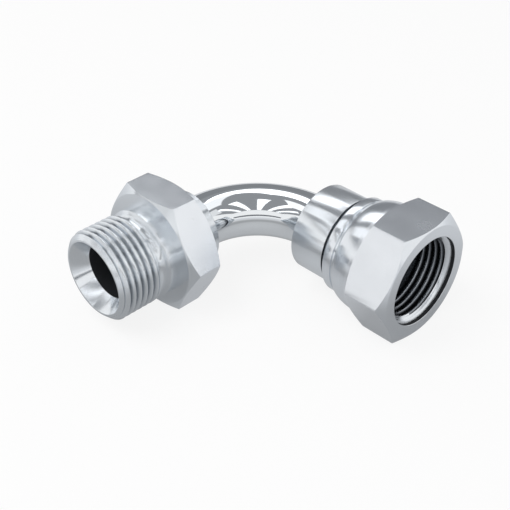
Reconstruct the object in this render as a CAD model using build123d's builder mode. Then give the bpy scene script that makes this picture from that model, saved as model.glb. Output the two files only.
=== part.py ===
from build123d import *
import math
import os

os.makedirs("parts", exist_ok=True)

# Ninety degree swept elbow, sizes in millimetres.
# Both ends are measured outwards from the corner, the point where the two
# axes cross. The male end points along -X, the nut end along -Y and Z is
# square to the bend. The origin is on the male axis, where the full thread
# begins in front of its relief groove.

# shared sizes
thread_major = 20.955
thread_depth = 1.162
hex_across = 27.0
hex_face_inset = 0.25
hex_bevel_angle = 30.0
seat_angle = 60.0
drill_angle = 118.0
edge_break = 0.25

# tube
tube_outer = 12.5
tube_wall = 1.5
bend_radius = 19.0
braze_gap = 0.05

# male end, from the bend outwards
male_straight = 2.1
male_neck_length = 4.8
male_neck_diameter = 17.7
male_hex_length = 8.5
collar_undersize = 0.155
collar_length = 2.55
relief_width = 2.75
relief_depth = 1.45
thread_runout = 0.55
male_thread_length = 9.5
thread_lead = 1.4
rim_width = 0.53
male_bore_diameter = 12.8
male_tube_depth = 13.0
tube_stop_length = 4.9

# tail end, from the bend outwards
tail_straight = 1.75
tail_collar_diameter = 20.7
tail_collar_length = 9.0
tail_neck_length = 4.85
nose_clearance = 0.165
nose_shoulder = 1.25
nose_land = 1.6
nose_tip_diameter = 12.4
tail_bore_diameter = 9.0
tail_tube_depth = 8.0

# swivel nut
nut_gap = 1.2
lip_length = 2.2
lip_rise = 0.5
groove_width = 1.2
waist_wall = 1.45
swell_rise = 2.1
swell_length = 5.25
nut_hex_length = 10.8
swivel_clearance = 0.1
end_float = 0.3
cavity_relief = 0.1845
nut_thread_length = 6.45
counterbore_clearance = 0.0725
counterbore_depth = 1.0

# threads and hexagons
thread_minor = thread_major - 2 * thread_depth
thread_radius = thread_major / 2
hex_half = hex_across / 2
face_radius = hex_half - hex_face_inset
corner_radius = hex_half / math.cos(math.radians(30)) + hex_face_inset
bevel_run = (corner_radius - face_radius) * math.tan(math.radians(hex_bevel_angle))

# stations of the male end
male_neck_rear = bend_radius + male_straight
male_hex_rear = male_neck_rear + male_neck_length
male_face = male_hex_rear + male_hex_length
collar_front = male_face + collar_length
relief_front = collar_front + relief_width
thread_start = relief_front + thread_runout
male_front = thread_start + male_thread_length
collar_radius = thread_radius - collar_undersize / 2
relief_radius = thread_radius - relief_depth
rim_radius = thread_radius - thread_lead
cone_radius = rim_radius - rim_width
socket_radius = tube_outer / 2 + braze_gap
passage_radius = tube_outer / 2 - tube_wall
male_bore_radius = male_bore_diameter / 2
cone_depth = (cone_radius - male_bore_radius) / math.tan(math.radians(seat_angle / 2))
male_tube_end = male_neck_rear + male_tube_depth
bore_floor = male_tube_end + tube_stop_length
drill_run = (male_bore_radius - passage_radius) / math.tan(math.radians(drill_angle / 2))

# stations of the tail
tail_rear = bend_radius + tail_straight
tail_tube_end = tail_rear + tail_tube_depth
tail_shoulder = tail_rear + tail_collar_length
nose_rear = tail_shoulder + tail_neck_length
cone_start = nose_rear + nose_land
nose_radius = thread_minor / 2 - nose_clearance
tail_neck_radius = nose_radius - nose_shoulder
tail_bore_radius = tail_bore_diameter / 2
nose_run = (nose_radius - nose_tip_diameter / 2) / math.tan(math.radians(seat_angle / 2))
nose_tip = cone_start + nose_run

# stations of the nut
nut_rear = tail_shoulder + nut_gap
lip_front = nut_rear + lip_length
waist = lip_front + groove_width / 2
swell_start = lip_front + groove_width
nut_hex_rear = swell_start + swell_length
nut_front = nut_hex_rear + nut_hex_length
cavity_radius = thread_minor / 2 + cavity_relief
waist_radius = cavity_radius + waist_wall
lip_radius = waist_radius + lip_rise
swell_radius = waist_radius + swell_rise
lip_bore_radius = tail_neck_radius + swivel_clearance
lip_inner_face = nose_rear - end_float
counterbore_radius = thread_radius + counterbore_clearance
counterbore_floor = nut_front - counterbore_depth
nut_thread_front = counterbore_floor - (counterbore_radius - thread_minor / 2)
nut_thread_rear = nut_thread_front - nut_thread_length

# the two axes, both read outwards from the corner
corner = (thread_start, 0, 0)
male_side = Plane(origin=corner, x_dir=(-1, 0, 0), z_dir=(0, 0, 1))
nut_side = Plane(origin=corner, x_dir=(0, -1, 0), z_dir=(0, 0, 1))
male_axis = Axis(corner, (-1, 0, 0))
nut_axis = Axis(corner, (0, -1, 0))
male_section = Plane(origin=male_side.from_local_coords((male_hex_rear, 0, 0)), x_dir=(0, 1, 0), z_dir=(-1, 0, 0))
nut_section = Plane(origin=nut_side.from_local_coords((nut_hex_rear, 0, 0)), x_dir=(1, 0, 0), z_dir=(0, -1, 0))
tube_section = Plane(origin=male_side.from_local_coords((male_tube_end, 0, 0)), x_dir=(0, 1, 0), z_dir=(1, 0, 0))


# Male stud: hexagon with bevelled corners, collar, thread relief and thread
# blank in front and a plain neck behind.
with BuildPart() as male_stud:
    with BuildSketch(male_section):
        RegularPolygon(radius=hex_half, side_count=6, major_radius=False)
    extrude(amount=male_hex_length)
    with BuildSketch(male_side):
        with BuildLine():
            Polyline(
                (male_hex_rear, 0),
                (male_hex_rear, face_radius),
                (male_hex_rear + bevel_run, corner_radius),
                (male_face - bevel_run, corner_radius),
                (male_face, face_radius),
                (male_face, 0),
                close=True,
            )
        make_face()
    revolve(axis=male_axis, mode=Mode.INTERSECT)
    # turned profile: neck, collar, relief with sloped walls, thread, lead-in
    with BuildSketch(male_side):
        with BuildLine():
            Polyline(
                (male_neck_rear, 0),
                (male_neck_rear, male_neck_diameter / 2),
                (male_face - male_hex_length / 2, male_neck_diameter / 2),
                (male_face - male_hex_length / 2, collar_radius),
                (collar_front, collar_radius),
                (collar_front + relief_width * 0.35, relief_radius),
                (collar_front + relief_width * 0.65, relief_radius),
                (thread_start, thread_radius),
                (male_front - thread_lead, thread_radius),
                (male_front, rim_radius),
                (male_front, 0),
                close=True,
            )
        make_face()
    revolve(axis=male_axis)
    # tube socket, stop for the tube, drilled bore and sixty degree seat
    with BuildSketch(male_side):
        with BuildLine():
            Polyline(
                (male_neck_rear, 0),
                (male_neck_rear, socket_radius),
                (male_tube_end, socket_radius),
                (male_tube_end, passage_radius),
                (bore_floor, passage_radius),
                (bore_floor + drill_run, male_bore_radius),
                (male_front - cone_depth, male_bore_radius),
                (male_front, cone_radius),
                (male_front, 0),
                close=True,
            )
        make_face()
    revolve(axis=male_axis, mode=Mode.SUBTRACT)

# Bent tube: a straight in each socket and a quarter turn between them.
with BuildPart() as bend_tube:
    with BuildLine(male_side) as tube_path:
        Line((male_tube_end, 0), (bend_radius, 0))
        RadiusArc((bend_radius, 0), (0, bend_radius), bend_radius)
        Line((0, bend_radius), (0, tail_tube_end))
    with BuildSketch(tube_section):
        Circle(tube_outer / 2)
        Circle(passage_radius, mode=Mode.SUBTRACT)
    sweep(path=tube_path.line)

# Tail: collar with the tube socket, neck for the nut's lip, land and cone.
with BuildPart() as swivel_tail:
    with BuildSketch(nut_side):
        with BuildLine():
            Polyline(
                (tail_rear, socket_radius),
                (tail_rear, tail_collar_diameter / 2 - edge_break),
                (tail_rear + edge_break, tail_collar_diameter / 2),
                (tail_shoulder, tail_collar_diameter / 2),
                (tail_shoulder, tail_neck_radius),
                (nose_rear, tail_neck_radius),
                (nose_rear, nose_radius),
                (cone_start, nose_radius),
                (nose_tip, nose_tip_diameter / 2),
                (nose_tip, tail_bore_radius),
                (tail_tube_end, tail_bore_radius),
                (tail_tube_end, socket_radius),
                close=True,
            )
        make_face()
    revolve(axis=nut_axis)

# Swivel nut: bevelled hexagon, a rounded swell behind it, a groove and a lip.
with BuildPart() as swivel_nut:
    with BuildSketch(nut_section):
        RegularPolygon(radius=hex_half, side_count=6, major_radius=False)
    extrude(amount=nut_hex_length)
    with BuildSketch(nut_side):
        with BuildLine():
            Polyline(
                (nut_hex_rear, 0),
                (nut_hex_rear, face_radius),
                (nut_hex_rear + bevel_run, corner_radius),
                (nut_front - bevel_run, corner_radius),
                (nut_front, face_radius),
                (nut_front, 0),
                close=True,
            )
        make_face()
    revolve(axis=nut_axis, mode=Mode.INTERSECT)
    with BuildSketch(nut_side):
        with BuildLine():
            Polyline(
                (nut_hex_rear - swell_length / 4, swell_radius),
                (nut_hex_rear + bevel_run, swell_radius),
                (nut_hex_rear + bevel_run, 0),
                (nut_rear, 0),
                (nut_rear, lip_radius),
                (lip_front, lip_radius),
                (waist, waist_radius),
                (swell_start, waist_radius + swell_rise * 0.55),
            )
            ThreePointArc(
                (swell_start, waist_radius + swell_rise * 0.55),
                (swell_start + swell_length * 0.3, waist_radius + swell_rise * 0.86),
                (nut_hex_rear - swell_length / 4, swell_radius),
            )
        make_face()
    revolve(axis=nut_axis)
    # inside: lip bore, cavity, thread core, lead-in bevel and counterbore
    with BuildSketch(nut_side):
        with BuildLine():
            Polyline(
                (nut_rear, 0),
                (nut_rear, lip_bore_radius),
                (lip_inner_face, lip_bore_radius),
                (lip_inner_face, cavity_radius),
                (nut_thread_rear, cavity_radius),
                (nut_thread_rear, thread_minor / 2),
                (nut_thread_front, thread_minor / 2),
                (counterbore_floor, counterbore_radius),
                (nut_front, counterbore_radius),
                (nut_front, 0),
                close=True,
            )
        make_face()
    revolve(axis=nut_axis, mode=Mode.SUBTRACT)

male_stud.part.label = "male_stud"
bend_tube.part.label = "bend_tube"
swivel_tail.part.label = "swivel_tail"
swivel_nut.part.label = "swivel_nut"

export_step(male_stud.part, "parts/male_stud.step")
export_step(bend_tube.part, "parts/bend_tube.step")
export_step(swivel_tail.part, "parts/swivel_tail.step")
export_step(swivel_nut.part, "parts/swivel_nut.step")
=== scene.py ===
import math

import bpy
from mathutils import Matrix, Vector


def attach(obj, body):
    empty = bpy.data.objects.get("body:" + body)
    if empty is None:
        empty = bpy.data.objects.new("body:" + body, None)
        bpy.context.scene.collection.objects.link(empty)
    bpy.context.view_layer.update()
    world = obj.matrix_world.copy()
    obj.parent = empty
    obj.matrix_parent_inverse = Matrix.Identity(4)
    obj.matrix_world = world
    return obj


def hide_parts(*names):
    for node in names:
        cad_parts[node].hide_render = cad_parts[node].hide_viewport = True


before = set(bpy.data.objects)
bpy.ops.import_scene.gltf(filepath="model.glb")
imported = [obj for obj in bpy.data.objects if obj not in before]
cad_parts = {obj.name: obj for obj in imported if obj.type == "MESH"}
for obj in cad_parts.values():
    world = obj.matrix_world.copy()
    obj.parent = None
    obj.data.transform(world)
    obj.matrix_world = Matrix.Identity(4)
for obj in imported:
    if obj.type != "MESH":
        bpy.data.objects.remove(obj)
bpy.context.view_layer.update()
print("frame loaded")

mm = 0.001
corner = Vector((40.25, 0.0, 0.0))        # where the two axes cross, in mm
maleWay = Vector((-1.0, 0.0, 0.0))        # out of the male end
nutWay = Vector((0.0, -1.0, 0.0))         # out of the nut end
ends = {
    "male": {"way": maleWay, "turn": (0.0, math.radians(90), 0.0), "screwAxis": "X"},
    "nut": {"way": nutWay, "turn": (math.radians(90), math.radians(90), 0.0), "screwAxis": "Y"},
}


def freshStart():
    if bpy.context.object and bpy.context.object.mode != "OBJECT":
        bpy.ops.object.mode_set(mode="OBJECT")
    bpy.ops.object.select_all(action="DESELECT")


def pick(piece):
    freshStart()
    piece.select_set(True)
    bpy.context.view_layer.objects.active = piece


def onAxis(end, station):
    return (corner + ends[end]["way"] * station) * mm


def settle(piece):
    pick(piece)
    bpy.ops.object.transform_apply(location=True, rotation=True, scale=True)


def outward(piece):
    pick(piece)
    bpy.ops.object.mode_set(mode="EDIT")
    bpy.ops.mesh.select_all(action="SELECT")
    bpy.ops.mesh.remove_doubles(threshold=0.000001)
    bpy.ops.mesh.normals_make_consistent(inside=False)
    bpy.ops.object.mode_set(mode="OBJECT")


def applyModifier(piece, kind, **settings):
    pick(piece)
    modifier = piece.modifiers.new(kind.lower(), kind)
    for key, value in settings.items():
        setattr(modifier, key, value)
    bpy.ops.object.modifier_apply(modifier=modifier.name)


def keepInside(piece, form):
    applyModifier(piece, "BOOLEAN", object=form, operation="INTERSECT", solver="EXACT")
    bpy.data.objects.remove(form)


def smoothPiece(piece, angle):
    pick(piece)
    bpy.ops.object.shade_smooth_by_angle(angle=math.radians(angle))


# a turned ring: one circle pulled along the axis from station to station and
# scaled to each radius, until it comes back to where it started
def turnRing(name, end, section, around=160):
    freshStart()
    way = ends[end]["way"]
    firstStation, firstRadius = section[0]
    bpy.ops.mesh.primitive_circle_add(
        vertices=around,
        radius=firstRadius * mm,
        location=onAxis(end, firstStation),
        rotation=ends[end]["turn"],
    )
    ring = bpy.context.object
    ring.name = name
    bpy.ops.object.mode_set(mode="EDIT")
    bpy.ops.mesh.select_all(action="SELECT")
    lastStation, lastRadius = firstStation, firstRadius
    for station, radius in section[1:] + section[:1]:
        step = way * (station - lastStation) * mm
        bpy.ops.mesh.extrude_edges_move(TRANSFORM_OT_translate={"value": step})
        scale = radius / lastRadius
        bpy.ops.transform.resize(value=(scale, scale, scale), center_override=onAxis(end, station))
        lastStation, lastRadius = station, radius
    bpy.ops.object.mode_set(mode="OBJECT")
    settle(ring)
    outward(ring)
    return ring


# a hexagon bar end: a six sided cylinder with softened long edges, its corners
# bevelled by a turned form whose front runs inwards through the mouth's points
def hexBar(name, end, bar, mouth):
    edgeSoftness, formMargin, formSides, creaseAngle = 0.16, 1.0, 190, 16
    rear, front = bar["hexRear"], bar["hexFront"]
    cornerRadius = bar["hexAcross"] / 2 / math.cos(math.radians(30))
    freshStart()
    bpy.ops.mesh.primitive_cylinder_add(
        vertices=6,
        radius=cornerRadius * mm,
        depth=(front - rear) * mm,
        location=onAxis(end, (front + rear) / 2),
        rotation=ends[end]["turn"],
    )
    piece = bpy.context.object
    piece.name = name
    settle(piece)
    places = piece.data.vertices
    for edge in piece.data.edges:
        along = places[edge.vertices[1]].co - places[edge.vertices[0]].co
        edge.select = abs(along.normalized().dot(ends[end]["way"])) > 0.9
    bpy.ops.object.mode_set(mode="EDIT")
    bpy.context.tool_settings.mesh_select_mode = (False, True, False)
    bpy.ops.mesh.bevel(offset=edgeSoftness * mm, segments=3)
    bpy.context.tool_settings.mesh_select_mode = (True, False, False)
    bpy.ops.object.mode_set(mode="OBJECT")
    faceRadius = bar["hexAcross"] / 2 - bar["hexInset"]
    formRadius = cornerRadius + formMargin
    bevelRun = (formRadius - faceRadius) * math.tan(math.radians(30))
    form = turnRing(name + "Form", end, [
        (rear, bar["hexHole"]), (rear, faceRadius), (rear + bevelRun, formRadius),
        (front - bevelRun, formRadius), (front, faceRadius), *mouth,
    ], formSides)
    keepInside(piece, form)
    smoothPiece(piece, creaseAngle)
    return piece


# the ridge of a right-hand thread: its section, points as along and radius in
# mm, is screwed round the axis and trimmed to the turned outline of the thread.
# It starts a little behind the thread, where the trim cuts it off
def threadRidge(name, end, bar):
    stepsRound, trimSides, creaseAngle = 96, 128, 50
    freshStart()
    way = ends[end]["way"]
    across = Vector((0.0, 0.0, 1.0))
    bpy.ops.mesh.primitive_plane_add(size=1.0, location=onAxis(end, bar["threadRear"] - bar["ridgeLead"]))
    ridge = bpy.context.object
    ridge.name = name
    bpy.ops.object.transform_apply(location=False, rotation=True, scale=True)
    # a vertex bevel turns the plane's four corners into the section's eight
    bpy.ops.object.mode_set(mode="EDIT")
    bpy.ops.mesh.select_all(action="SELECT")
    bpy.ops.mesh.bevel(offset=0.1, segments=1, affect="VERTICES")
    bpy.ops.object.mode_set(mode="OBJECT")
    order = sorted(ridge.data.vertices, key=lambda v: math.atan2(v.co.y, v.co.x))
    for vertex, (along, radius) in zip(order, bar["ridge"]):
        vertex.co = (way * along + across * radius) * mm
    applyModifier(
        ridge, "SCREW", axis=ends[end]["screwAxis"], angle=math.radians(360),
        screw_offset=-bar["pitch"] * mm, iterations=bar["ridgeTurns"],
        steps=stepsRound, render_steps=stepsRound, use_merge_vertices=False, use_smooth_shade=True,
    )
    settle(ridge)
    outward(ridge)
    keepInside(ridge, turnRing(name + "Trim", end, bar["ridgeTrim"], trimSides))
    smoothPiece(ridge, creaseAngle)
    return ridge


def joinInto(piece, *others):
    freshStart()
    for other in others:
        other.select_set(True)
    piece.select_set(True)
    bpy.context.view_layer.objects.active = piece
    bpy.ops.object.join()


def vectorMath(nodes, links, operation, *sources):
    node = nodes.new("ShaderNodeVectorMath")
    node.operation = operation
    for slot, source in zip(node.inputs, sources):
        if isinstance(source, bpy.types.NodeSocket):
            links.new(source, slot)
        else:
            slot.default_value = source
    return node


# plated steel: tool marks and slow patches vary its tone and gloss
def platedSteel(name, look):
    material = bpy.data.materials.new(name)
    material.use_nodes = True
    nodes, links = material.node_tree.nodes, material.node_tree.links
    shader = nodes["Principled BSDF"]
    shader.inputs["Metallic"].default_value = look.get("metal", 1.0)
    place = nodes.new("ShaderNodeTexCoord")
    marks = nodes.new("ShaderNodeTexNoise")
    marks.inputs["Scale"].default_value = look["markScale"]
    marks.inputs["Detail"].default_value = 4.0
    marks.inputs["Roughness"].default_value = 0.65
    links.new(place.outputs["Object"], marks.inputs["Vector"])
    patches = nodes.new("ShaderNodeTexNoise")
    patches.inputs["Scale"].default_value = look["patchScale"]
    patches.inputs["Detail"].default_value = 3.0
    links.new(place.outputs["Object"], patches.inputs["Vector"])
    gloss = nodes.new("ShaderNodeMapRange")
    gloss.inputs["From Min"].default_value = 0.3
    gloss.inputs["From Max"].default_value = 0.7
    gloss.inputs["To Min"].default_value = look["rough"][0]
    gloss.inputs["To Max"].default_value = look["rough"][1]
    links.new(patches.outputs["Fac"], gloss.inputs["Value"])
    links.new(gloss.outputs["Result"], shader.inputs["Roughness"])
    tone = nodes.new("ShaderNodeMix")
    tone.data_type = "RGBA"
    tone.inputs["A"].default_value = (*look["dark"], 1.0)
    tone.inputs["B"].default_value = (*look["light"], 1.0)
    links.new(marks.outputs["Fac"], tone.inputs["Factor"])
    links.new(tone.outputs["Result"], shader.inputs["Base Color"])
    bump = nodes.new("ShaderNodeBump")
    bump.inputs["Strength"].default_value = look["markStrength"]
    bump.inputs["Distance"].default_value = look["markDepth"] * mm
    links.new(marks.outputs["Fac"], bump.inputs["Height"])
    links.new(bump.outputs["Normal"], shader.inputs["Normal"])
    return material


# plated steel off the lathe: the marks are circles round the end's axis, and
# reflections spread square to them
def turnedSteel(name, end, look):
    axis = ends[end]["way"]
    material = platedSteel(name, look)
    nodes, links = material.node_tree.nodes, material.node_tree.links
    shader, marks = nodes["Principled BSDF"], nodes["Noise Texture"]
    place, tone = nodes["Texture Coordinate"], nodes["Mix"]
    shader.inputs["Anisotropic"].default_value = look["spread"]
    fromCorner = vectorMath(nodes, links, "SUBTRACT", place.outputs["Object"], corner * mm)
    station = vectorMath(nodes, links, "DOT_PRODUCT", fromCorner.outputs[0], axis)
    roundWay = vectorMath(nodes, links, "CROSS_PRODUCT", axis, fromCorner.outputs[0])
    reach = vectorMath(nodes, links, "LENGTH", roundWay.outputs[0])
    circles = nodes.new("ShaderNodeCombineXYZ")
    links.new(station.outputs["Value"], circles.inputs["X"])
    links.new(reach.outputs["Value"], circles.inputs["Y"])
    links.new(circles.outputs[0], marks.inputs["Vector"])
    acrossMarks = vectorMath(nodes, links, "CROSS_PRODUCT", place.outputs["Normal"], roundWay.outputs[0])
    toWorld = nodes.new("ShaderNodeVectorTransform")
    toWorld.vector_type = "VECTOR"
    toWorld.convert_from = "OBJECT"
    toWorld.convert_to = "WORLD"
    links.new(acrossMarks.outputs[0], toWorld.inputs[0])
    links.new(toWorld.outputs[0], shader.inputs["Tangent"])
    if "paintedRootShade" in look:
        # painted shade: the base colour darkens from the thread's crests towards its roots
        rootShadeAmount = nodes.new("ShaderNodeMapRange")
        rootShadeAmount.inputs["From Min"].default_value = look["root"] * mm
        rootShadeAmount.inputs["From Max"].default_value = look["crest"] * mm
        links.new(reach.outputs["Value"], rootShadeAmount.inputs["Value"])
        paintedRootShade = nodes.new("ShaderNodeMix")
        paintedRootShade.data_type = "RGBA"
        paintedRootShade.inputs["A"].default_value = (*look["paintedRootShade"], 1.0)
        links.new(rootShadeAmount.outputs["Result"], paintedRootShade.inputs["Factor"])
        links.new(tone.outputs["Result"], paintedRootShade.inputs["B"])
        links.new(paintedRootShade.outputs["Result"], shader.inputs["Base Color"])
    return material


# every face takes the first finish whose test it passes. A test is given where
# the face lies, in mm: its station along the end's axis and how far its corners
# reach from that axis, and how much the face looks along the axis, from 0 to 1
def paintFaces(piece, end, finishes):
    way = ends[end]["way"]
    piece.data.materials.clear()
    for material, test in finishes:
        piece.data.materials.append(material)
    for face in piece.data.polygons:
        station = (face.center / mm - corner).dot(way)
        total = 0.0
        for index in face.vertices:
            away = piece.data.vertices[index].co / mm - corner
            total += (away - way * away.dot(way)).length
        reach = total / len(face.vertices)
        facing = abs(face.normal.dot(way))
        for slot, (material, test) in enumerate(finishes):
            if test(station, reach, facing):
                face.material_index = slot
                break


def handOver(piece, body, node):
    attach(piece, body)
    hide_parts(node)


# ---- male stud
stud = {
    "neckRear": 21.1, "neckRadius": 8.85,
    "hexRear": 25.9, "hexFront": 34.4, "hexAcross": 27.0, "hexInset": 0.25, "hexHole": 7.4,
    "collarFront": 36.95, "collarRadius": 10.4,
    # the relief groove, then the full ring that starts the thread
    "relief": [(37.25, 9.75), (37.6, 9.32), (38.05, 9.08), (38.6, 9.0), (39.1, 9.12), (39.4, 9.4)],
    "threadRing": [(39.6, 10.2), (39.7, 10.42), (39.95, 10.44), (40.15, 10.1)],
    "threadRear": 40.3, "crestRadius": 10.4775, "rootRadius": 9.62, "pitch": 1.55,
    "front": 49.75, "leadRun": 1.4, "rimRadius": 9.08,
    "coneRadius": 8.55, "coneEnd": 46.03, "boreRadius": 6.4,
    "boreFloor": 39.0, "passageRadius": 4.75, "tubeEnd": 34.1, "socketRadius": 6.3,
    "ridgeLead": 1.8, "ridgeTurns": 8,
    "ridge": [(-0.76, 9.3), (0.76, 9.3), (0.7, 9.62), (0.16, 10.42),
              (0.06, 10.48), (-0.06, 10.48), (-0.16, 10.42), (-0.7, 9.62)],
    "ridgeTrim": [(39.8, 9.0), (39.8, 10.3), (39.95, 10.6), (48.25, 10.6), (49.68, 9.15), (49.68, 9.0)],
}
studBody = turnRing("maleStud", "male", [
    (stud["neckRear"], stud["socketRadius"]),
    (stud["neckRear"], stud["neckRadius"] - 0.2),
    (stud["neckRear"] + 0.2, stud["neckRadius"]),
    (stud["hexRear"] + 1.0, stud["neckRadius"]),
    (stud["hexFront"] - 1.0, stud["collarRadius"]),
    (stud["collarFront"] - 0.12, stud["collarRadius"]),
    (stud["collarFront"], stud["collarRadius"] - 0.12),
    *stud["relief"],
    *stud["threadRing"],
    (stud["threadRear"], stud["rootRadius"]),
    (stud["front"] - stud["crestRadius"] + stud["rootRadius"] + 0.32, stud["rootRadius"]),
    (stud["front"] - 0.05, stud["rimRadius"]),
    (stud["front"], stud["rimRadius"] - 0.06),
    (stud["front"], stud["coneRadius"] + 0.05),
    (stud["front"] - 0.05, stud["coneRadius"]),
    (stud["coneEnd"], stud["boreRadius"]),
    (stud["boreFloor"] + 0.99, stud["boreRadius"]),
    (stud["boreFloor"], stud["passageRadius"]),
    (stud["tubeEnd"], stud["passageRadius"]),
    (stud["tubeEnd"], stud["socketRadius"]),
])
studHex = hexBar("studHex", "male", stud, [(stud["hexFront"], stud["hexHole"])])
studThread = threadRidge("studThread", "male", stud)
smoothPiece(studBody, 24)
joinInto(studBody, studHex, studThread)
print("male stud", len(studBody.data.polygons))

# ---- bent tube
tube = {
    "outerRadius": 6.25, "wall": 1.5, "bendRadius": 19.0,
    "maleDepth": 34.1, "tailDepth": 28.75, "around": 128, "bendSteps": 72,
}
freshStart()
bpy.ops.mesh.primitive_circle_add(
    vertices=tube["around"], radius=tube["outerRadius"] * mm,
    location=onAxis("male", tube["maleDepth"]), rotation=ends["male"]["turn"],
)
tubePiece = bpy.context.object
tubePiece.name = "bendTube"
bpy.ops.object.mode_set(mode="EDIT")
bpy.ops.mesh.select_all(action="SELECT")
bpy.ops.mesh.extrude_edges_move(
    TRANSFORM_OT_translate={"value": -maleWay * (tube["maleDepth"] - tube["bendRadius"]) * mm})
bendCentre = (corner + (maleWay + nutWay) * tube["bendRadius"]) * mm
bpy.ops.mesh.spin(
    steps=tube["bendSteps"], angle=math.radians(90), center=bendCentre, axis=(0.0, 0.0, 1.0))
bpy.ops.mesh.extrude_edges_move(
    TRANSFORM_OT_translate={"value": nutWay * (tube["tailDepth"] - tube["bendRadius"]) * mm})
bpy.ops.object.mode_set(mode="OBJECT")
settle(tubePiece)
outward(tubePiece)
applyModifier(tubePiece, "SOLIDIFY", thickness=tube["wall"] * mm, offset=-1.0, use_even_offset=True)
smoothPiece(tubePiece, 30)
print("bent tube", len(tubePiece.data.polygons))

# ---- tail
tail = {
    "rear": 20.75, "radius": 10.35, "edge": 0.28, "shoulder": 29.75,
    "neckRadius": 7.9, "noseRear": 34.6, "noseRadius": 9.15, "coneStart": 36.2,
    "tip": 41.31, "tipRadius": 6.2, "boreRadius": 4.5, "tubeEnd": 28.75, "socketRadius": 6.3,
}
tailPiece = turnRing("swivelTail", "nut", [
    (tail["rear"], tail["socketRadius"]),
    (tail["rear"], tail["radius"] - tail["edge"]),
    (tail["rear"] + tail["edge"] * 0.3, tail["radius"] - tail["edge"] * 0.3),
    (tail["rear"] + tail["edge"], tail["radius"]),
    (tail["shoulder"] - tail["edge"], tail["radius"]),
    (tail["shoulder"] - tail["edge"] * 0.3, tail["radius"] - tail["edge"] * 0.3),
    (tail["shoulder"], tail["radius"] - tail["edge"]),
    (tail["shoulder"], tail["neckRadius"]),
    (tail["noseRear"], tail["neckRadius"]),
    (tail["noseRear"], tail["noseRadius"]),
    (tail["coneStart"], tail["noseRadius"]),
    (tail["tip"], tail["tipRadius"]),
    (tail["tip"], tail["boreRadius"]),
    (tail["tubeEnd"], tail["boreRadius"]),
    (tail["tubeEnd"], tail["socketRadius"]),
])
smoothPiece(tailPiece, 24)
print("tail", len(tailPiece.data.polygons))

# ---- swivel nut
nut = {
    "rear": 30.95, "lipFront": 33.15, "lipRadius": 11.45, "waistRadius": 10.95,
    "swell": [(33.5, 10.98), (33.75, 11.12), (34.0, 11.5), (34.35, 12.06), (34.8, 12.3), (35.2, 12.45),
              (35.7, 12.62), (36.2, 12.75), (36.8, 12.87), (37.4, 12.96), (38.0, 13.02), (38.6, 13.05)],
    "hexRear": 39.6, "hexFront": 50.4, "hexAcross": 27.0, "hexInset": 0.25, "hexHole": 11.1,
    # the turned body ends inside the hexagon: its last length and radius there
    "shellOverlap": 1.4, "shellRadius": 11.6,
    "lipBore": 8.0, "cavityStart": 34.3, "cavityRadius": 9.5, "threadRear": 41.7,
    "rootRadius": 10.15, "leadStart": 49.4, "counterRadius": 10.55, "pitch": 1.6,
    "ridgeLead": 1.0, "ridgeTurns": 7,
    "ridge": [(-0.785, 10.5), (0.785, 10.5), (0.74, 10.15), (0.2, 9.36),
              (0.08, 9.3), (-0.08, 9.3), (-0.2, 9.36), (-0.74, 10.15)],
    "ridgeTrim": [(41.75, 10.6), (41.75, 9.2), (48.1655, 9.2), (49.4, 10.42), (49.4, 10.6)],
}
nutBody = turnRing("swivelNut", "nut", [
    (nut["rear"], nut["lipBore"]),
    (nut["rear"], nut["lipRadius"] - 0.25),
    (nut["rear"] + 0.07, nut["lipRadius"] - 0.07),
    (nut["rear"] + 0.25, nut["lipRadius"]),
    (nut["lipFront"] - 0.15, nut["lipRadius"]),
    (nut["lipFront"] - 0.03, nut["lipRadius"] - 0.05),
    (nut["lipFront"] + 0.1, nut["waistRadius"] + 0.15),
    *nut["swell"],
    (nut["hexRear"] + nut["shellOverlap"], nut["swell"][-1][1]),
    (nut["hexRear"] + nut["shellOverlap"], nut["shellRadius"]),
    (nut["leadStart"], nut["shellRadius"]),
    (nut["leadStart"], nut["counterRadius"]),
    (nut["leadStart"] - 0.95, nut["counterRadius"] - 0.95),
    (nut["leadStart"] - 1.1, nut["rootRadius"]),
    (nut["threadRear"], nut["rootRadius"]),
    (nut["threadRear"], nut["cavityRadius"]),
    (nut["cavityStart"], nut["cavityRadius"]),
    (nut["cavityStart"], nut["lipBore"]),
])
nutHex = hexBar("nutHex", "nut", nut, [
    (nut["hexFront"], nut["counterRadius"] + 0.06),
    (nut["hexFront"] - 0.06, nut["counterRadius"]),
    (nut["leadStart"], nut["counterRadius"]),
    (nut["leadStart"] - 0.3, nut["hexHole"]),
])
nutThread = threadRidge("nutThread", "nut", nut)
smoothPiece(nutBody, 24)
joinInto(nutBody, nutHex, nutThread)
print("swivel nut", len(nutBody.data.polygons))

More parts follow.
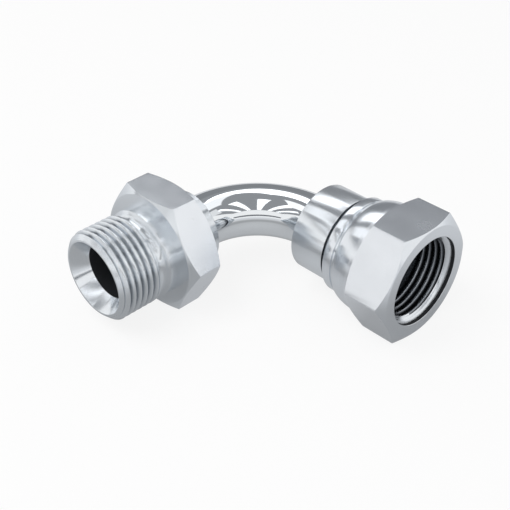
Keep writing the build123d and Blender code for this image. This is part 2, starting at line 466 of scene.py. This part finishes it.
# ---- finishes
looks = {
    "studTurned": {
        "light": (0.84, 0.87, 0.9), "dark": (0.74, 0.775, 0.81), "rough": (0.18, 0.21), "spread": 1.0,
        "patchScale": 180.0, "markScale": 5000, "markStrength": 0.15, "markDepth": 0.01,
    },
    "studThread": {
        "light": (0.84, 0.87, 0.9), "dark": (0.74, 0.775, 0.81), "rough": (0.17, 0.2), "spread": 0.8,
        "patchScale": 180.0, "markScale": 5000, "markStrength": 0.1, "markDepth": 0.01,
        # painted shade at the thread roots: root and crest radii and the root colour
        "root": 9.62, "crest": 10.35, "paintedRootShade": (0.42, 0.45, 0.48),
    },
    "seat": {
        "light": (0.84, 0.87, 0.9), "dark": (0.76, 0.79, 0.82), "rough": (0.14, 0.17), "spread": 0.9,
        "patchScale": 180.0, "markScale": 5000, "markStrength": 0.1, "markDepth": 0.008,
    },
    "studFlats": {
        "light": (0.86, 0.885, 0.92), "dark": (0.79, 0.82, 0.855), "rough": (0.22, 0.28),
        "patchScale": 160.0, "markScale": 2600, "markStrength": 0.12, "markDepth": 0.01,
    },
    # painted shade: a near-black steel for the bores and the nut's counterbore, which lie in shade
    "bore": {
        "light": (0.04, 0.043, 0.048), "dark": (0.026, 0.028, 0.032), "rough": (0.5, 0.6), "metal": 0.4,
        "patchScale": 180.0, "markScale": 900, "markStrength": 0.2, "markDepth": 0.01,
    },
    "tube": {
        "light": (0.84, 0.865, 0.885), "dark": (0.8, 0.825, 0.845), "rough": (0.03, 0.06),
        "patchScale": 90.0, "markScale": 400, "markStrength": 0.06, "markDepth": 0.01,
    },
    "tailTurned": {
        "light": (0.84, 0.87, 0.9), "dark": (0.77, 0.8, 0.83), "rough": (0.19, 0.21), "spread": 1.0,
        "patchScale": 150.0, "markScale": 5000, "markStrength": 0.1, "markDepth": 0.008,
    },
    "nutTurned": {
        "light": (0.83, 0.86, 0.895), "dark": (0.75, 0.78, 0.815), "rough": (0.18, 0.21), "spread": 0.9,
        "patchScale": 180.0, "markScale": 5000, "markStrength": 0.15, "markDepth": 0.01,
    },
    "nutFlats": {
        "light": (0.87, 0.895, 0.93), "dark": (0.8, 0.83, 0.865), "rough": (0.22, 0.28),
        "patchScale": 160.0, "markScale": 2600, "markStrength": 0.12, "markDepth": 0.01,
    },
    # painted shade: the nut's inner thread has a dark base all over for the shade inside the nut, darkest
    # at its roots
    "nutThread": {
        "light": (0.45, 0.475, 0.51), "dark": (0.33, 0.35, 0.38), "rough": (0.24, 0.3), "spread": 0.6,
        "patchScale": 180.0, "markScale": 5000, "markStrength": 0.2, "markDepth": 0.01,
        # painted shade at the thread roots: root and crest radii and the root colour
        "root": 9.6, "crest": 9.33, "paintedRootShade": (0.07, 0.076, 0.086),
    },
}
# the near-black bore steel is painted shade for the hollows inside the parts
dark = platedSteel("borePaintedShade", looks["bore"])


def everyFace(station, reach, facing):
    return True


def studBore(station, reach, facing):
    return reach < stud["boreRadius"] + 0.01 and station < stud["coneEnd"] - 0.01


def studFlat(station, reach, facing):
    return reach > 11.0 and facing < 0.3


def studSeat(station, reach, facing):
    return reach < stud["coneRadius"] and station > stud["coneEnd"]


def studThreads(station, reach, facing):
    return stud["threadRear"] - 0.3 < station < stud["front"] - stud["leadRun"] and reach > 9.3


def tailBore(station, reach, facing):
    return reach < tail["boreRadius"] + 0.1


def nutCounterbore(station, reach, facing):
    return abs(reach - nut["counterRadius"]) < 0.02 and station > nut["leadStart"]


def nutFlat(station, reach, facing):
    return reach > 12.0 and station > nut["hexRear"] and facing < 0.3


def nutThreads(station, reach, facing):
    return reach < nut["rootRadius"] + 0.1 and station < nut["leadStart"] - 1.0


paintFaces(studBody, "male", [
    (dark, studBore),
    (platedSteel("studFlats", looks["studFlats"]), studFlat),
    (turnedSteel("seatSteel", "male", looks["seat"]), studSeat),
    (turnedSteel("studThreadSteel", "male", looks["studThread"]), studThreads),
    (turnedSteel("studSteel", "male", looks["studTurned"]), everyFace),
])
handOver(studBody, "elbow", "male_stud")
paintFaces(tubePiece, "male", [(platedSteel("tubeSteel", looks["tube"]), everyFace)])
handOver(tubePiece, "elbow", "bend_tube")
paintFaces(tailPiece, "nut", [
    (dark, tailBore),
    (turnedSteel("tailSteel", "nut", looks["tailTurned"]), everyFace),
])
handOver(tailPiece, "elbow", "swivel_tail")
paintFaces(nutBody, "nut", [
    (dark, nutCounterbore),
    (platedSteel("nutFlats", looks["nutFlats"]), nutFlat),
    (turnedSteel("nutThread", "nut", looks["nutThread"]), nutThreads),
    (turnedSteel("nutSteel", "nut", looks["nutTurned"]), everyFace),
])
handOver(nutBody, "nut", "swivel_nut")
print("finishes")

# ---- studio
studio = {
    "middle": Vector((0.02, -0.02, 0.0)), "daylight": 0.6,
    "floorDrop": 13.5, "floorSize": 3.0, "floorColor": (0.95, 0.95, 0.95),
    "floorWhite": 0.85, "floorMirror": 0.85,
    "keyPlace": (-0.3, 0.1, 0.6), "keySize": (0.5, 0.4), "keyPower": 2.0,
    # the floor as the metal mirrors it, by distance from the middle in metres:
    # painted shade under both ends, white far off
    "floorStops": (
        (0.0, 0.55), (0.015, 0.5), (0.025, 0.33), (0.042, 0.33),
        (0.06, 0.5), (0.08, 0.66), (0.2, 0.75), (1.0, 1.0),
    ),
    "cameraPlace": (-0.09780, -0.13557, 0.12231),
    "cameraTurn": (53.8151, -0.4143, -45.0546), "cameraLens": 66.123,
}


# one share for what the camera sees straight and one for mirrors and glass
def seenShare(tree, cameraShare, mirrorShare):
    nodes, links = tree.nodes, tree.links
    path = nodes.new("ShaderNodeLightPath")
    mirrors = nodes.new("ShaderNodeMath")
    mirrors.operation = "MAXIMUM"
    links.new(path.outputs["Is Glossy Ray"], mirrors.inputs[0])
    links.new(path.outputs["Is Transmission Ray"], mirrors.inputs[1])
    mirrorPart = nodes.new("ShaderNodeMath")
    mirrorPart.operation = "MULTIPLY"
    mirrorPart.inputs[1].default_value = mirrorShare
    links.new(mirrors.outputs[0], mirrorPart.inputs[0])
    cameraPart = nodes.new("ShaderNodeMath")
    cameraPart.operation = "MULTIPLY_ADD"
    cameraPart.inputs[1].default_value = cameraShare
    links.new(path.outputs["Is Camera Ray"], cameraPart.inputs[0])
    links.new(mirrorPart.outputs[0], cameraPart.inputs[2])
    return cameraPart.outputs[0]


def mixed(tree, share, first, second):
    mix = tree.nodes.new("ShaderNodeMixShader")
    tree.links.new(share, mix.inputs["Fac"])
    tree.links.new(first, mix.inputs[1])
    tree.links.new(second, mix.inputs[2])
    return mix.outputs[0]


def glowing(tree, kind, color, strength):
    glow = tree.nodes.new(kind)
    glow.inputs["Color"].default_value = (*color, 1.0)
    glow.inputs["Strength"].default_value = strength
    return glow


# the world is white to the camera and in mirrors, and softer as a light
plainWhite = (1.0, 1.0, 1.0)
world = bpy.data.worlds.new("studioWorld")
bpy.context.scene.world = world
world.use_nodes = True
worldTree = world.node_tree
worldTree.nodes.clear()
worldOut = worldTree.nodes.new("ShaderNodeOutputWorld")
daylight = glowing(worldTree, "ShaderNodeBackground", plainWhite, studio["daylight"])
white = glowing(worldTree, "ShaderNodeBackground", plainWhite, 1.0)
worldLight = mixed(worldTree, seenShare(worldTree, 1.0, 1.0), daylight.outputs[0], white.outputs[0])
worldTree.links.new(worldLight, worldOut.inputs["Surface"])

# the floor: matte under the light, near white to the camera, graded in mirrors with painted shade near
# the part
freshStart()
bpy.ops.mesh.primitive_plane_add(
    size=studio["floorSize"], location=studio["middle"] - Vector((0.0, 0.0, studio["floorDrop"] * mm)))
floor = bpy.context.object
floor.name = "floor"
floorPaint = bpy.data.materials.new("floorPaint")
floorPaint.use_nodes = True
floorTree = floorPaint.node_tree
floorTree.nodes.clear()
floorOut = floorTree.nodes.new("ShaderNodeOutputMaterial")
matte = floorTree.nodes.new("ShaderNodeBsdfDiffuse")
matte.inputs["Color"].default_value = (*studio["floorColor"], 1.0)
floorGlow = glowing(floorTree, "ShaderNodeEmission", plainWhite, 1.0)
floorPlace = floorTree.nodes.new("ShaderNodeTexCoord")
floorReach = vectorMath(floorTree.nodes, floorTree.links, "LENGTH", floorPlace.outputs["Object"])
floorRamp = floorTree.nodes.new("ShaderNodeValToRGB")
floorRamp.color_ramp.interpolation = "EASE"
for index, (distance, shade) in enumerate(studio["floorStops"]):
    if index < 2:
        stop = floorRamp.color_ramp.elements[index]
    else:
        stop = floorRamp.color_ramp.elements.new(1.0)
    stop.position = distance
    stop.color = (shade, shade * 1.02, shade * 1.05, 1.0)
floorTree.links.new(floorReach.outputs["Value"], floorRamp.inputs["Fac"])
floorMirror = glowing(floorTree, "ShaderNodeEmission", plainWhite, 1.0)
floorTree.links.new(floorRamp.outputs["Color"], floorMirror.inputs["Color"])
seenFloor = mixed(
    floorTree, seenShare(floorTree, studio["floorWhite"], 0.0), matte.outputs[0], floorGlow.outputs[0])
wholeFloor = mixed(
    floorTree, seenShare(floorTree, 0.0, studio["floorMirror"]), seenFloor, floorMirror.outputs[0])
floorTree.links.new(wholeFloor, floorOut.inputs["Surface"])
floor.data.materials.append(floorPaint)

# one soft lamp from above, not seen in the metal
lampData = bpy.data.lights.new("keyLamp", "AREA")
lampData.shape = "RECTANGLE"
lampData.size, lampData.size_y = studio["keySize"]
lampData.energy = studio["keyPower"]
lamp = bpy.data.objects.new("keyLamp", lampData)
bpy.context.scene.collection.objects.link(lamp)
lamp.location = studio["keyPlace"]
lamp.rotation_mode = "QUATERNION"
lamp.rotation_quaternion = (studio["middle"] - Vector(studio["keyPlace"])).to_track_quat("-Z", "Y")
lamp.visible_glossy = False

# the room that the metal mirrors: a grey ceiling with five rows of lamps that
# run away behind the camera and long lamps behind and right of the part, a
# darker back wall and dark skirtings. It shows in the metal only.
# Lengths on the ceiling are in ceiling heights from the part's middle; a wall
# card has its turn from -Y towards +X and its height, in degrees, then its
# distance and size in metres
room = {
    "height": 0.5, "lampDrop": 0.01, "turn": -43.0, "span": 3.4,
    "ceiling": (0.31, 0.32, 0.335), "lamp": (1.6, 1.62, 1.65),
    "rows": (-1.15, -0.64, -0.09, 0.44, 0.98), "rowWidth": 0.2, "rowStart": 0.17, "rowEnd": 1.6,
    # x from, x to, y from, y to, strength
    "longLamps": (
        (0.14, 0.68, 0.25, 1.5, 1.9), (-0.64, -0.14, 0.25, 1.5, 1.2),
        (0.42, 1.7, -0.36, 0.3, 1.1), (0.6, 1.7, -1.3, -0.55, 0.85),
    ),
    "cards": {
        "backWall": (137, 10, 0.62, (1.0, 0.62), (0.25, 0.26, 0.275)),
        "skirtingFront": (-43, 7.5, 0.8, (1.5, 0.09), (0.2, 0.21, 0.23)),
        "skirtingLeft": (-128, 3.5, 0.7, (0.5, 0.13), (0.2, 0.21, 0.23)),
    },
}


def mirrorCard(name, place, size, shade):
    freshStart()
    bpy.ops.mesh.primitive_plane_add(size=1.0, location=place)
    card = bpy.context.object
    card.name = name
    card.scale = (size[0], size[1], 1.0)
    paint = bpy.data.materials.new(name + "Paint")
    paint.use_nodes = True
    tree = paint.node_tree
    tree.nodes.clear()
    out = tree.nodes.new("ShaderNodeOutputMaterial")
    glow = glowing(tree, "ShaderNodeEmission", shade, 1.0)
    tree.links.new(glow.outputs[0], out.inputs["Surface"])
    card.data.materials.append(paint)
    card.visible_camera = False
    card.visible_diffuse = False
    card.visible_shadow = False
    return card


def ceilingCard(name, turn, along, aside, size, drop, shade):
    forward = Vector((math.sin(turn), -math.cos(turn), 0.0))
    sideways = Vector((math.cos(turn), math.sin(turn), 0.0))
    height = room["height"]
    above = studio["middle"] + Vector((0.0, 0.0, height - drop))
    place = above + (forward * along + sideways * aside) * height
    card = mirrorCard(name, place, (size[0] * height, size[1] * height), shade)
    card.rotation_euler = (math.radians(180), 0.0, turn)


def wallCard(name, turn, height, far, size, shade):
    turnAngle, heightAngle = math.radians(turn), math.radians(height)
    way = Vector((
        math.sin(turnAngle) * math.cos(heightAngle),
        -math.cos(turnAngle) * math.cos(heightAngle),
        math.sin(heightAngle),
    ))
    card = mirrorCard(name, studio["middle"] + way * far, size, shade)
    card.rotation_mode = "QUATERNION"
    card.rotation_quaternion = (-way).to_track_quat("-Z", "Y")


roomTurn = math.radians(room["turn"])
ceilingCard("ceilingCard", roomTurn, 0.0, 0.0, (room["span"], room["span"]), 0.0, room["ceiling"])
rowLength = room["rowEnd"] - room["rowStart"]
rowMiddle = (room["rowStart"] + room["rowEnd"]) / 2
for row, aside in enumerate(room["rows"]):
    ceilingCard(
        "lampRow%d" % row, roomTurn, rowMiddle, aside, (room["rowWidth"], rowLength),
        room["lampDrop"], room["lamp"])
for index, (left, right, near, far, strength) in enumerate(room["longLamps"]):
    ceilingCard(
        "longLamp%d" % index, 0.0, -(near + far) / 2, (left + right) / 2, (right - left, far - near),
        room["lampDrop"], (strength, strength * 1.01, strength * 1.025))
for name, card in room["cards"].items():
    wallCard(name, *card)
print("studio")

# ---- camera
cameraData = bpy.data.cameras.new("camera")
cameraData.lens = studio["cameraLens"]
cameraData.sensor_width = 36.0
cameraData.clip_start = 0.01
camera = bpy.data.objects.new("camera", cameraData)
bpy.context.scene.collection.objects.link(camera)
camera.location = studio["cameraPlace"]
camera.rotation_euler = [math.radians(a) for a in studio["cameraTurn"]]
bpy.context.scene.camera = camera
bpy.context.scene.view_settings.view_transform = "Standard"

print("done")
